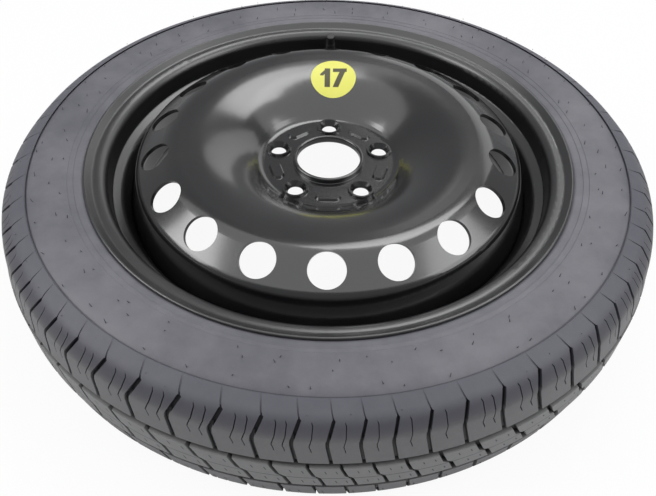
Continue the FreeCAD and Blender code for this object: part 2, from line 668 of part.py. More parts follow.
# Round label that follows the bowl, placed from the centre of the bowl's bend
label_radius = f"({BOWL} + Sizes.label_out)"
wall_slope = f"atan(Sizes.bowl_rise / ({BOWL} - {HUB_EDGE}))"
crown_slope = f"atan((Sizes.crest_rise - Sizes.bowl_rise) / ({CREST} - {BOWL}))"
bend_reach = f"({BOWL_ROUND} * tan(({wall_slope} - {crown_slope}) / 2))"
bend_radius = f"({BOWL} + {bend_reach} * cos({crown_slope}) + {BOWL_ROUND} * sin({crown_slope}))"
bend_height = (
    f"(Sizes.bowl_rise + {bend_reach} * sin({crown_slope}) - {BOWL_ROUND} * cos({crown_slope}))"
)
label_tilt = f"asin(({bend_radius} - {label_radius}) / {BOWL_ROUND})"
label_height = f"({HUB_LINE} + {bend_height} + {BOWL_ROUND} * cos({label_tilt}))"
label_skin = turn_about_axle(
    sheet_section(disc_path, "label_section", f"{HALF_DISC} + Sizes.label_thick"), "label_skin"
)
label_punch = cylinder(
    "label_punch",
    "Sizes.label_diameter / 2",
    "Sizes.disc_plate * 3",
    spun(size("label_angle"), label_radius, label_height, f"-{label_tilt}")
    + f" * placement(vector(0; 0; -0.7 * {HALF_DISC}); rotation(vector(0; 0; 1); 0))",
)
label_blank = doc.addObject("Part::Common", "label_blank")
label_blank.Base = label_skin
label_blank.Tool = label_punch
lowered_dish = turn_about_axle(disc_section, "lowered_dish")
lowered_dish.setExpression(
    "Placement", f"placement(vector(0; 0; -{HALF_DISC}); rotation(vector(0; 0; 1); 0))"
)
round_label = cut("round_label", cut("label_over_dish", label_blank, dish), lowered_dish)

# Valve, along its own axis from the seat on the rim
grip = "Sizes.stem_diameter / 2"
valve_body = turned_body(
    "valve_body",
    [
        (grip, "-Sizes.rim_plate - Sizes.bulb_length", None),
        (
            "Sizes.bulb_diameter / 2 - Sizes.bulb_taper",
            "-Sizes.rim_plate - Sizes.bulb_length",
            size("bulb_round"),
        ),
        ("Sizes.bulb_diameter / 2", "-Sizes.rim_plate - Sizes.bulb_band", size("bulb_round")),
        ("Sizes.bulb_diameter / 2", "-Sizes.rim_plate", None),
        ("Sizes.valve_hole / 2", "-Sizes.rim_plate", None),
        ("Sizes.valve_hole / 2", "0", None),
        ("Sizes.foot_diameter / 2", "0", None),
        ("Sizes.foot_diameter / 2", "Sizes.foot_height", size("foot_round")),
        (
            "Sizes.rubber_diameter / 2 + Sizes.stem_flare",
            "Sizes.foot_height + Sizes.flare_height",
            size("flare_round"),
        ),
        ("Sizes.rubber_diameter / 2", "Sizes.rubber_length", size("foot_round")),
        (grip, "Sizes.rubber_length", None),
    ],
    VALVE_PLACE,
)
core_radius = "Sizes.core_diameter / 2"
core_top = "(Sizes.stem_length - Sizes.core_depth)"
core_foot = f"({core_top} - Sizes.core_length)"
chamber = f"({core_radius} - Sizes.core_wall)"
pin_radius = "Sizes.pin_diameter / 2"
guide = f"({pin_radius} + Sizes.pin_guide)"
valve_stem = turned_body(
    "valve_stem",
    [
        (core_radius, "-Sizes.rim_plate - Sizes.bulb_length", None),
        (grip, "-Sizes.rim_plate - Sizes.bulb_length", None),
        (grip, "Sizes.rubber_length", None),
        ("Sizes.thread_diameter / 2", "Sizes.rubber_length", None),
        ("Sizes.thread_diameter / 2", "Sizes.stem_length", size("stem_round")),
        (core_radius, "Sizes.stem_length", None),
    ],
    VALVE_PLACE,
)
valve_core_barrel = turned_body(
    "valve_core_barrel",
    [
        (guide, core_foot, None),
        (core_radius, core_foot, None),
        (core_radius, core_top, None),
        (chamber, core_top, None),
        (chamber, f"{core_foot} + Sizes.core_wall", None),
        (guide, f"{core_foot} + Sizes.core_wall", None),
    ],
    VALVE_PLACE,
)
collar_low = f"({core_foot} + Sizes.core_length * Sizes.collar_share)"
collar_high = f"({collar_low} + Sizes.collar_thick)"
pin_end = f"({core_top} + Sizes.pin_head)"
pin_foot = f"({core_foot} - Sizes.pin_tail)"
pin_collar = f"({chamber} - Sizes.pin_guide)"
valve_pin = turned_body(
    "valve_pin",
    [
        ("0", pin_foot, None),
        (pin_radius, pin_foot, None),
        (pin_radius, collar_low, None),
        (pin_collar, collar_low, None),
        (pin_collar, collar_high, None),
        (pin_radius, collar_high, None),
        (pin_radius, pin_end, size("pin_round")),
        ("0", pin_end, None),
    ],
    VALVE_PLACE,
)
seal_radius = f"({core_radius} - Sizes.seal_inset)"
seal_foot = f"({core_foot} - Sizes.seal_height)"
seal_step = f"({core_foot} - Sizes.seal_recess)"
valve_pin_seal = turned_body(
    "valve_pin_seal",
    [
        (pin_radius, seal_foot, None),
        (seal_radius, seal_foot, None),
        (seal_radius, core_foot, None),
        (guide, core_foot, None),
        (guide, seal_step, None),
        (pin_radius, seal_step, None),
    ],
    VALVE_PLACE,
)
cap_inner = "(Sizes.thread_diameter / 2 + Sizes.cap_play)"
cap_ceiling = "(Sizes.stem_length + Sizes.washer_thick)"
cap_top = f"({cap_ceiling} + Sizes.cap_roof)"
washer_bore = "(Sizes.core_diameter / 2 + Sizes.washer_hole)"
washer_edge = f"({cap_inner} - Sizes.washer_play)"
valve_cap_seal = turned_body(
    "valve_cap_seal",
    [
        (washer_bore, "Sizes.stem_length", None),
        (washer_edge, "Sizes.stem_length", None),
        (washer_edge, cap_ceiling, None),
        (washer_bore, cap_ceiling, None),
    ],
    VALVE_PLACE,
)
valve_cap = turned_body(
    "valve_cap",
    [
        ("0", cap_top, None),
        ("Sizes.cap_diameter / 2 - Sizes.cap_lean", cap_top, size("cap_round")),
        ("Sizes.cap_diameter / 2", f"{cap_top} - Sizes.cap_length", None),
        (cap_inner, f"{cap_top} - Sizes.cap_length", None),
        (cap_inner, cap_ceiling, None),
        ("0", cap_ceiling, None),
    ],
    VALVE_PLACE,
)

# Core spring: a round wire on a helix between the barrel's foot and the pin's collar
wire = value("Sizes.wire_diameter")
spring_low = value(f"{core_foot} + Sizes.core_wall") + wire / 2
spring_high = value(collar_low) - wire / 2
coil_radius = (value(guide) + value(chamber)) / 2
helix = Part.makeHelix((spring_high - spring_low) / SPRING_TURNS, spring_high - spring_low, coil_radius)
helix.translate(V(0, 0, spring_low))
wire_end = Part.Wire(Part.makeCircle(wire / 2, V(coil_radius, 0, spring_low), V(0, 1, 0)))
valve_spring = doc.addObject("Part::Feature", "valve_spring")
valve_spring.Shape = Part.Wire(helix).makePipeShell([wire_end], True, True)
valve_spring.setExpression("Placement", VALVE_PLACE)

NODES = [
    tyre,
    rim,
    wheel_disc,
    disc_welds,
    round_label,
    valve_body,
    valve_stem,
    valve_core_barrel,
    valve_spring,
    valve_pin,
    valve_pin_seal,
    valve_cap_seal,
    valve_cap,
]

doc.recompute()
for item in doc.Objects:
    if "Invalid" in item.State or "Error" in item.State:
        raise RuntimeError(f"{item.Name} did not build: {item.State}")
for node in NODES:
    if node.Shape.isNull() or not node.Shape.isValid():
        raise RuntimeError(f"{node.Label} has no valid shape")
    for solid in node.Shape.Solids:
        if solid.Volume <= 0:
            raise RuntimeError(f"{node.Label} has a solid turned inside out")

os.makedirs("parts", exist_ok=True)
for node in NODES:
    node.Shape.exportStep(os.path.join("parts", node.Label + ".step"))
    print(node.Label, len(node.Shape.Solids), round(node.Shape.Volume, 1))
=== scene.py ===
"""Looks of the spare wheel: moulded tyre, painted steel wheel, round label and snap-in valve."""

import math
import random

import bmesh
import bpy
from mathutils import Matrix, Vector

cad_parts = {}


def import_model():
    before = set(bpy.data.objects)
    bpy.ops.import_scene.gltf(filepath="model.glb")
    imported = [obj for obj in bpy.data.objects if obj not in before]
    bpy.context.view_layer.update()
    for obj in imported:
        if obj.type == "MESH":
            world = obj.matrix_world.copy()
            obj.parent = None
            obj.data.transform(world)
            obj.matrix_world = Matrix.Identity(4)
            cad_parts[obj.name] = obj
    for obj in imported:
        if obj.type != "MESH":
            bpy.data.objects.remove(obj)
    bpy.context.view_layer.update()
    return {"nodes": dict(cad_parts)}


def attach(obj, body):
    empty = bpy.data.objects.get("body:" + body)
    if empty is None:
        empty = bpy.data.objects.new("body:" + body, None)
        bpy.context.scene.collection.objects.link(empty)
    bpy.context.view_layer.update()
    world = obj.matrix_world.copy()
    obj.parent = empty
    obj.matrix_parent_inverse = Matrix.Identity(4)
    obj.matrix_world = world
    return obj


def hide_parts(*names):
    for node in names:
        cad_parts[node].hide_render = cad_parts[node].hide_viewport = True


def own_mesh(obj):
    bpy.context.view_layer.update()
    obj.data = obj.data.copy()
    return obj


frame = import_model()
MM = 0.001
RNG = random.Random(17)

# Sizes shared with the solids, in millimetres
MIDDLE = 61.4
CROWN = 315.9
TREAD_HALF = 43.6
CROWN_DROP = 6.2
GROOVE_MIDDLE = 16.7
GROOVE_HALF = 2.7
GROOVE_DEPTH = 6.5
LABEL_MIDDLE = Vector((110 * math.cos(math.radians(88)), 110 * math.sin(math.radians(88)), 0.0))
LABEL_SLOPE = math.radians(22)


# Shader maths


class Value:
    """A socket that takes part in plain Python expressions."""

    def __init__(self, shader, socket):
        self.shader = shader
        self.socket = socket

    def _math(self, operation, first, second):
        return self.shader.node("ShaderNodeMath", {"operation": operation}, {0: first, 1: second})

    def __add__(self, other):
        return self._math("ADD", self, other)

    __radd__ = __add__

    def __sub__(self, other):
        return self._math("SUBTRACT", self, other)

    def __rsub__(self, other):
        return self._math("SUBTRACT", other, self)

    def __mul__(self, other):
        return self._math("MULTIPLY", self, other)

    __rmul__ = __mul__

    def __truediv__(self, other):
        return self._math("DIVIDE", self, other)

    def __rtruediv__(self, other):
        return self._math("DIVIDE", other, self)

    def __pow__(self, other):
        return self._math("POWER", self, other)

    def __rpow__(self, other):
        return self._math("POWER", other, self)

    def most(self, other):
        return self._math("MAXIMUM", self, other)

    def size(self):
        return self._math("ABSOLUTE", self, 0.0)

    def angle_with(self, other):
        return self._math("ARCTAN2", self, other)

    def part(self):
        return self._math("FRACT", self, 0.0)

    def band(self, low, high, soft):
        """1 between low and high, with soft edges."""
        rise = self.shader.ramp(self, low - soft, low + soft)
        fall = self.shader.ramp(self, high - soft, high + soft)
        return rise - fall


class Shader:
    """A material or world whose nodes are made by one method."""

    def __init__(self, name, store=bpy.data.materials):
        self.owner = store.new(name)
        self.owner.use_nodes = True
        self.tree = self.owner.node_tree
        self.surface = self.tree.nodes.get("Principled BSDF")

    def node(self, kind, settings=None, inputs=None, output=0):
        node = self.tree.nodes.new(kind)
        for key, setting in (settings or {}).items():
            setattr(node, key, setting)
        for key, entry in (inputs or {}).items():
            self.feed(node.inputs[key], entry)
        return Value(self, node.outputs[output])

    def feed(self, socket, entry):
        if isinstance(entry, Value):
            self.tree.links.new(entry.socket, socket)
        else:
            socket.default_value = entry

    def ramp(self, value, low, high):
        return self.node(
            "ShaderNodeMapRange",
            {"interpolation_type": "SMOOTHSTEP"},
            {0: value, 1: low, 2: high, 3: 0.0, 4: 1.0},
        )

    def where(self, name="Object"):
        return self.node("ShaderNodeTexCoord", output=name)

    def axes(self, vector):
        first = self.node("ShaderNodeSeparateXYZ", None, {0: vector})
        return [Value(self, output) for output in first.socket.node.outputs]

    def noise(self, vector, scale, detail=3.0, rough=0.55):
        return self.node(
            "ShaderNodeTexNoise",
            None,
            {"Vector": vector, "Scale": scale, "Detail": detail, "Roughness": rough},
        )

    def mix(self, factor, first, second):
        return self.node(
            "ShaderNodeMix", {"data_type": "RGBA"}, {0: factor, 6: first, 7: second}, output=2
        )

    def bump(self, height, distance, strength):
        return self.node(
            "ShaderNodeBump", None, {"Height": height, "Distance": distance, "Strength": strength}
        )

    def set(self, **entries):
        for key, entry in entries.items():
            self.feed(self.surface.inputs[key.replace("_", " ")], entry)
        return self.owner


# Materials

# Zones of the tyre's finish: distances from the axle in metres
WALL_END = (0.2838, 0.2856)
EDGE_START = (0.29, 0.295)
TREAD_START = (0.3035, 0.3105)
RIB_START = (0.300, 0.305)
# Zones and fine marks of the tread: distances from the tyre's middle in millimetres
# The first zone is a band of painted shade across the shoulder, where its cuts start: from, to and softness
SHADE_BAND = (44.0, 53.0, 3.5)
RIB_EDGE = (16.0, 14.0)
# The rib's ticks and fine line are painted shade of fine sipes
TICK_MIDDLE = 7.6
TICK_HALF = 1.9
FINE_LINE = 1.5
FINE_LINE_HALF = 0.45


def tyre_rubber():
    shader = Shader("tyre_rubber")
    place = shader.where()
    x, y, z = shader.axes(place)
    radius = (x * x + y * y) ** 0.5
    across = z * 1000.0 - MIDDLE
    away = across.size()
    cloud = shader.noise(place, 7.0, 4.0)
    streak = shader.noise(place, 42.0, 4.0, 0.65)
    speck = shader.noise(place, 190.0, 3.0, 0.7)
    grain = shader.noise(place, 1100.0, 2.0, 0.6)
    wave_and_shade = shader.node("ShaderNodeAttribute", {"attribute_name": "wave_and_shade"}, output="Vector")
    cosine, sine, sunk = shader.axes(wave_and_shade)
    share = (sine.angle_with(cosine) / (2 * math.pi) + 1.0).part()

    # Sidewall, dark shoulder band, tread and paler middle rib, with a band of painted shade across the
    # shoulder where its cuts start
    dust = shader.ramp(cloud + 0.5 * streak, 0.5, 1.05)
    wall = shader.mix(dust, (0.100, 0.100, 0.117, 1.0), (0.168, 0.167, 0.186, 1.0))
    band = shader.mix(streak, (0.080, 0.080, 0.100, 1.0), (0.118, 0.117, 0.138, 1.0))
    worn = shader.mix(speck, (0.118, 0.117, 0.123, 1.0), (0.175, 0.174, 0.176, 1.0))
    rib = shader.mix(speck, (0.165, 0.165, 0.168, 1.0), (0.245, 0.244, 0.243, 1.0))
    colour = shader.mix(shader.ramp(radius, *WALL_END), wall, band)
    shoulder_shade = away.band(*SHADE_BAND) * shader.ramp(radius, *EDGE_START)
    colour = shader.mix(shader.ramp(radius, *TREAD_START), colour, worn)
    colour = shader.mix(shoulder_shade * 0.6, colour, (0.048, 0.048, 0.058, 1.0))
    on_rib = shader.ramp(away, *RIB_EDGE) * shader.ramp(radius, *RIB_START)
    colour = shader.mix(on_rib, colour, rib)

    # Painted shade of fine sipes on the middle rib: two ticks in each half of a block and one line round
    # the tyre, then painted shade on whatever is sunk into a cut
    third = (share * 3.0).part()
    tick = third.band(0.445, 0.555, 0.02) * share.band(0.3, 0.97, 0.01)
    tick = tick * (away - TICK_MIDDLE).size().band(-1.0, TICK_HALF, 0.3)
    line = (across + FINE_LINE).size().band(-1.0, FINE_LINE_HALF, 0.1)
    colour = shader.mix(on_rib * tick.most(line * 0.8), colour, (0.030, 0.030, 0.034, 1.0))
    colour = shader.mix(sunk, colour, (0.007, 0.007, 0.009, 1.0))
    skin = shader.bump(0.6 * grain + 0.4 * speck, 0.0004, 0.3)
    return shader.set(
        Base_Color=colour,
        Roughness=0.40 + 0.18 * speck + 0.08 * streak,
        Normal=skin,
        Specular_IOR_Level=0.5,
    )


def black_paint(name, dull):
    """Dip paint, glossy or with a duller skin."""
    shader = Shader(name)
    place = shader.where()
    peel = shader.noise(place, 120.0, 2.0, 0.5)
    haze = shader.noise(place, 11.0, 4.0, 0.6)
    dust = shader.noise(place, 520.0, 3.0, 0.7)
    film = shader.mix(shader.ramp(haze, 0.35, 0.75), (0.006, 0.006, 0.007, 1.0), (0.011, 0.010, 0.011, 1.0))
    colour = shader.mix(shader.ramp(dust, 0.64, 0.76) * 0.25, film, (0.10, 0.10, 0.10, 1.0))
    return shader.set(
        Base_Color=colour,
        Roughness=dull + 0.12 + 0.10 * haze + 0.05 * dust,
        Normal=shader.bump(peel, 0.0005, 0.05),
        Specular_IOR_Level=0.75,
        Coat_Weight=1.0,
        Coat_Roughness=0.13 + dull,
    )


DIGIT_HALF = 12.5
PRINT_EDGE = 0.3


def label_film():
    """Yellow film with a plain number printed on it."""
    shader = Shader("label_film")
    place = shader.where()
    x, y, z = shader.axes(place)
    fade = shader.noise(place, 60.0, 3.0)
    fleck = shader.noise(place, 700.0, 2.0)
    across = x * 1000.0 - LABEL_MIDDLE.x
    up = (y * 1000.0 - LABEL_MIDDLE.y) / math.cos(LABEL_SLOPE)

    # Strokes of the number, in millimetres from the label's middle
    tall = up.band(-DIGIT_HALF, DIGIT_HALF, PRINT_EDGE)
    one = across.band(-9.6, -3.6, PRINT_EDGE)
    flag = (across + 9.2 - 0.8 * (up - 7.6)).size().band(-1.0, 2.4, PRINT_EDGE)
    flag = flag * across.band(-14.5, -5.0, PRINT_EDGE) * up.band(2.0, DIGIT_HALF, PRINT_EDGE)
    top = up.band(7.2, DIGIT_HALF, PRINT_EDGE) * across.band(-0.6, 14.6, PRINT_EDGE)
    slant = (across - 7.0 - 0.37 * up).size().band(-1.0, 3.1, PRINT_EDGE)
    printed = (tall * one.most(slant)).most(top).most(flag)
    film = shader.mix(fade, (0.76, 0.76, 0.12, 1.0), (0.82, 0.81, 0.18, 1.0))
    ink = shader.mix(fleck, (0.045, 0.042, 0.016, 1.0), (0.080, 0.074, 0.03, 1.0))
    return shader.set(
        Base_Color=shader.mix(printed, film, ink),
        Roughness=0.34 + 0.12 * fleck,
        Normal=shader.bump(fleck, 0.0002, 0.12),
    )


def valve_rubber():
    shader = Shader("valve_rubber")
    place = shader.where()
    bloom = shader.noise(place, 120.0, 3.0)
    grain = shader.noise(place, 1500.0, 2.0)
    colour = shader.mix(bloom, (0.012, 0.012, 0.013, 1.0), (0.034, 0.034, 0.036, 1.0))
    return shader.set(
        Base_Color=colour, Roughness=0.42 + 0.2 * bloom, Normal=shader.bump(grain, 0.0002, 0.25)
    )


def turned_brass():
    shader = Shader("turned_brass")
    place = shader.where()
    tarnish = shader.noise(place, 260.0, 3.0)
    colour = shader.mix(tarnish, (0.62, 0.43, 0.17, 1.0), (0.42, 0.28, 0.11, 1.0))
    return shader.set(Base_Color=colour, Metallic=1.0, Roughness=0.26 + 0.18 * tarnish)


def spring_wire():
    shader = Shader("spring_wire")
    drawn = shader.noise(shader.where(), 900.0, 2.0)
    colour = shader.mix(drawn, (0.45, 0.45, 0.46, 1.0), (0.62, 0.62, 0.63, 1.0))
    return shader.set(Base_Color=colour, Metallic=1.0, Roughness=0.25 + 0.15 * drawn)


def cap_plastic():
    shader = Shader("cap_plastic")
    place = shader.where()
    scuff = shader.noise(place, 300.0, 3.0)
    grain = shader.noise(place, 2200.0, 2.0)
    colour = shader.mix(scuff, (0.012, 0.012, 0.012, 1.0), (0.03, 0.03, 0.031, 1.0))
    return shader.set(
        Base_Color=colour, Roughness=0.30 + 0.18 * scuff, Normal=shader.bump(grain, 0.0001, 0.3)
    )


# Mesh helpers


def new_piece(name, mesh, material, body):
    """Finishes a bmesh as an object that rides on a body."""
    data = bpy.data.meshes.new(name)
    mesh.to_mesh(data)
    mesh.free()
    piece = bpy.data.objects.new(name, data)
    bpy.context.scene.collection.objects.link(piece)
    data.materials.append(material)
    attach(piece, body)
    return piece


def smooth(piece, degrees):
    """Smooth faces with sharp edges past an angle."""
    piece.data.shade_smooth()
    piece.data.set_sharp_from_angle(angle=math.radians(degrees))


def arc_between(before, corner, after, bend, steps):
    """Points of a round of radius bend at a corner between two straight runs."""
    back = (before - corner).normalized()
    ahead = (after - corner).normalized()
    half = back.angle(ahead) / 2
    middle = corner + (back + ahead).normalized() * (bend / math.sin(half))
    start = corner + back * (bend / math.tan(half)) - middle
    turn = math.pi - 2 * half
    sign = 1 if back.x * ahead.y - back.y * ahead.x < 0 else -1
    points = []
    for step in range(steps + 1):
        points.append(middle + Matrix.Rotation(sign * turn * step / steps, 2) @ start)
    return points


def rounded(corners):
    """Points along a path of (radius, height, bend, steps), where a bend of 0 is a sharp corner."""
    places = [Vector((r, h)) for r, h, bend, steps in corners]
    points = []
    for i, (r, h, bend, steps) in enumerate(corners):
        if bend:
            points += arc_between(places[i - 1], places[i], places[(i + 1) % len(places)], bend, steps)
        else:
            points.append(places[i])
    return points


def thinned(points, gap):
    """Drops points closer than a gap to the one before."""
    kept = [points[0]]
    for point in points[1:]:
        if (point - kept[-1]).length > gap:
            kept.append(point)
    return kept


def turned_strips(points, sweep, steps, copies):
    """A closed section turned through a short sweep, with stacked copies of that strip.

    Vertices run along the section first, then from station to station, then from copy to copy.
    """
    mesh = bmesh.new()
    verts = [mesh.verts.new((p.x * MM, 0.0, p.y * MM)) for p in points]
    edges = [mesh.edges.new((a, b)) for a, b in zip(verts, verts[1:] + verts[:1])]
    bmesh.ops.spin(
        mesh, geom=verts + edges, cent=(0, 0, 0), axis=(0, 0, 1), angle=sweep, steps=steps
    )
    strip = mesh.verts[:] + mesh.edges[:] + mesh.faces[:]
    for copy in range(copies - 1):
        bmesh.ops.duplicate(mesh, geom=strip)
    return mesh


# Tyre

PITCHES = 68
PITCH_SWING = 0.20
PITCH_WAVES = 6
LONG_PITCH_AT = math.radians(-115)

# Stops across one pitch, as shares of it: the lateral cut, then one or two fine sipes
CUT_STOPS = [0.0, 0.014, 0.104, 0.118]
SIPE_STOPS = [0.385, 0.4, 0.415, 0.665, 0.68, 0.695]
PLAIN_STOPS = [0.21, 0.3, 0.54, 0.79, 0.9]
STOPS = sorted(CUT_STOPS + SIPE_STOPS + PLAIN_STOPS)
CUT_MIDDLE = 0.059
SIDEWALL_STOPS = [0.0, 0.3, 0.665]

# Where the stations follow the cuts: outside this radius, except on the inside of the tyre
TREAD_FROM = 285.3
INSIDE_RADIUS = 303.0
INSIDE_HALF = 43.0
# Where a cut runs out as a thin line, and its width there as a share of the cut's
LINE_FROM = 54.0
LINE_SHARE = 0.4
# Pitches between the upper shoulder's cuts and those of the rib and the lower shoulder
RIB_SHIFT = 0.5
LOWER_SHIFT = 0.35
RIB_CUT_DEPTH = 4.6
RIB_CUT_HALF = 14.4
LONG_PITCH_LEVEL = -0.35
# Cuts sink towards the axle on the tread, and slanting on the shoulder
SHOULDER_FROM = 44.0
SHOULDER_INWARD = (-0.75, 0.66)
# Painted shade in the cuts: depth at which a cut is painted fully dark, and the groove floors that always
# are
SHADE_DEPTH = 1.1
DARKEST_SHADE = 0.96
GROOVE_ZONE = 20.0
GROOVE_FLOOR = CROWN - 4.0


def pitch_angle(turns):
    """Angle after some pitches, which are longer and shorter in waves round the tyre."""
    even = 2 * math.pi * turns / PITCHES
    return even + PITCH_SWING / PITCH_WAVES * math.sin(PITCH_WAVES * (even - LONG_PITCH_AT))


def along(table, at):
    """Straight-line reading of a short table of (place, value)."""
    for (a, first), (b, second) in zip(table, table[1:]):
        if a <= at <= b:
            return first + (second - first) * (at - a) / (b - a)
    return table[0][1] if at < table[0][0] else table[-1][1]


CUT_RADIUS = 311
MEAN_PITCH = 2 * math.pi * CUT_RADIUS / PITCHES
# Sideways run of the shoulder cut in millimetres, against distance from the tyre's middle
SHOULDER_RUN = [(19.4, -1.7), (41.0, -5.9), (53.7, 0.0), (59.3, -3.4)]
RIB_RUN = [(-14.0, 7.2), (-1.2, 2.2), (1.2, -2.2), (14.0, -7.2)]
# Depth of the shoulder cut in millimetres, against distance from the middle
SHOULDER_DEPTH = [
    (19.4, 2.6),
    (38.0, 2.6),
    (41.5, 4.6),
    (53.2, 3.0),
    (54.6, 0.7),
    (59.2, 0.45),
    (59.4, 0.0),
]
SIPE_DEPTH = [(31.9, 0.0), (32.5, 1.6), (52.2, 1.6), (52.8, 0.0)]
SIPE_RUN = [(32.5, 0.6), (38.4, -1.4), (49.4, 2.2), (52.7, 0.2)]
# How far a station follows the sipes instead of the cut, against its share of the pitch
SIPE_FOLLOW = [(0.118, 0.0), (0.36, 1.0), (0.74, 1.0), (1.0, 0.0)]


def shoulder_run(share, away):
    """Sideways run: along the cut beside it, along the straighter sipes between two cuts."""
    free = along(SIPE_FOLLOW, share)
    return along(SHOULDER_RUN, away) * (1 - free) + along(SIPE_RUN, away) * free


def cut_shape(stop):
    """How far a stop is sunk by the lateral cut: full at its two inner stops."""
    return 1.0 if stop in CUT_STOPS[1:3] else 0.0


def sipe_shape(stop, long_pitch):
    sunk = SIPE_STOPS[1::3] if long_pitch else SIPE_STOPS[1:2]
    return 1.0 if stop in sunk else 0.0


def tyre_rows():
    """Rows of the tyre's section, from the tread over the upper bead, the inside and the lower bead."""

    def half(sign):
        def at(r, h, bend=0.0, steps=1):
            return (r, sign * h, bend, steps)

        edge = CROWN - CROWN_DROP
        return [
            at(CROWN, 0.3),
            at(CROWN, 1.5),
            at(CROWN, 7.0),
            at(CROWN, GROOVE_MIDDLE - GROOVE_HALF - 0.4),
            at(CROWN - 0.4, GROOVE_MIDDLE - GROOVE_HALF),
            at(CROWN - GROOVE_DEPTH, GROOVE_MIDDLE - GROOVE_HALF + 0.6),
            at(CROWN - GROOVE_DEPTH, GROOVE_MIDDLE + GROOVE_HALF - 0.6),
            at(CROWN - 1.6, GROOVE_MIDDLE + GROOVE_HALF),
            at(CROWN - 1.25, GROOVE_MIDDLE + GROOVE_HALF + 0.4),
            at(CROWN - 2.4, 25.5),
            at(CROWN - 3.3, 31.5),
            at(CROWN - 3.45, 32.4),
            at(CROWN - 4.4, 38.0),
            at(edge, TREAD_HALF, 7.0, 5),
            at(edge - 10.5, 54.5, 22.0, 8),
            at(285.6, 60.0, 0.0),
            at(285.1, 59.55, 0.0),
            at(284.6, 60.2, 0.0),
            at(283.5, MIDDLE, 20.0, 3),
            at(260.5, MIDDLE, 85.0, 5),
            at(248.6, 59.9),
            at(248.2, 59.5),
            at(247.6, 59.7),
            at(243.4, 59.05),
            at(242.9, 58.5),
            at(237.0, 57.2, 6.0, 5),
            at(226.0, 50.2, 8.0, 5),
            at(218.3, 50.2, 6.5, 4),
            at(217.0, 35.8),
            at(242.3, 43.8, 30.0, 5),
            at(272.0, 54.4, 45.0, 6),
            at(301.9, 41.6, 20.0, 5),
        ]

    upper = half(1)
    lower = half(-1)
    return thinned(rounded(upper + lower[::-1]), 0.15)


def tyre():
    """The tyre is turned, then its stations are moved along the kinked cuts and sunk into them."""
    rows = tyre_rows()
    mesh = turned_strips(rows, 2 * math.pi / PITCHES, len(STOPS), PITCHES)
    wave_and_shade = mesh.verts.layers.float_vector.new("wave_and_shade")
    count = len(rows)
    for index, vert in enumerate(mesh.verts):
        station, row_number = divmod(index, count)
        pitch, stop = divmod(station, len(STOPS) + 1)
        row = rows[row_number]
        if stop == len(STOPS):
            pitch, stop = pitch + 1, 0
        share = STOPS[stop]
        away = abs(row.y)
        tread = row.x > TREAD_FROM and not (row.x < INSIDE_RADIUS and away < INSIDE_HALF)
        if not tread:
            share = max(s for s in SIDEWALL_STOPS if s <= share)
        run = 0.0
        depth = 0.0
        turns = pitch + share
        if share in CUT_STOPS and away > LINE_FROM:
            turns = pitch + CUT_MIDDLE + (share - CUT_MIDDLE) * LINE_SHARE
        if tread and away >= GROOVE_MIDDLE:
            wave_angle = PITCH_WAVES * (2 * math.pi * pitch / PITCHES - LONG_PITCH_AT)
            long_pitch = math.cos(wave_angle) > LONG_PITCH_LEVEL
            sipe = sipe_shape(share, long_pitch) * along(SIPE_DEPTH, away)
            cut = cut_shape(share) * along(SHOULDER_DEPTH, away)
            run = shoulder_run(share, away)
            depth = max(sipe, cut)
            if row.y < 0:
                turns += LOWER_SHIFT
                run = -run
        elif tread:
            turns += RIB_SHIFT
            run = along(RIB_RUN, row.y)
            depth = cut_shape(share) * (RIB_CUT_DEPTH if away < RIB_CUT_HALF else 0.0)
        angle = pitch_angle(turns + run / MEAN_PITCH)
        inward = Vector((-1.0, 0.0))
        if away >= SHOULDER_FROM:
            inward = Vector((SHOULDER_INWARD[0], -math.copysign(SHOULDER_INWARD[1], row.y)))
        r = row.x + inward.x * depth
        h = row.y + inward.y * depth
        vert.co = Vector((r * math.cos(angle), r * math.sin(angle), h + MIDDLE)) * MM
        # Painted shade on cut walls and groove floors, passed to the rubber as the third value of the
        # vertex attribute
        in_groove = 1.0 if tread and away < GROOVE_ZONE and row.x < GROOVE_FLOOR else 0.0
        sunk = min(1.0, max(depth / SHADE_DEPTH, in_groove)) * DARKEST_SHADE
        vert[wave_and_shade] = (math.cos(2 * math.pi * share), math.sin(2 * math.pi * share), sunk)
    bmesh.ops.remove_doubles(mesh, verts=mesh.verts[:], dist=1e-6)
    bmesh.ops.recalc_face_normals(mesh, faces=mesh.faces[:])
    piece = new_piece("moulded_tyre", mesh, tyre_rubber(), "wheel")
    smooth(piece, 32)
    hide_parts("tyre")


# Rings of vent hairs: radius, height from the tyre's middle, number of hairs
HAIR_RINGS = [(296.0, 56.8, 46), (279.0, 61.2, 52), (262.0, 61.3, 44), (253.0, 60.6, 40)]
# Lengths of the hairs, where they are short, and their shape
SHORT_HAIR = (0.4, 1.3)
LONG_HAIR = (2.2, 4.4)
SHORT_FROM_RADIUS = 290.0
RESTING_HEIGHT = 60.0
HAIR_SPREAD = 0.38
HAIR_STRAY = 3.0
HAIR_LEAN = 0.5
HAIR_SINK = 0.5
HAIR_FOOT = 0.42
HAIR_TIP = 0.26
# Painted shade on the vent hairs, given through the tyre's painted cut shade
HAIR_SHADE = 0.7


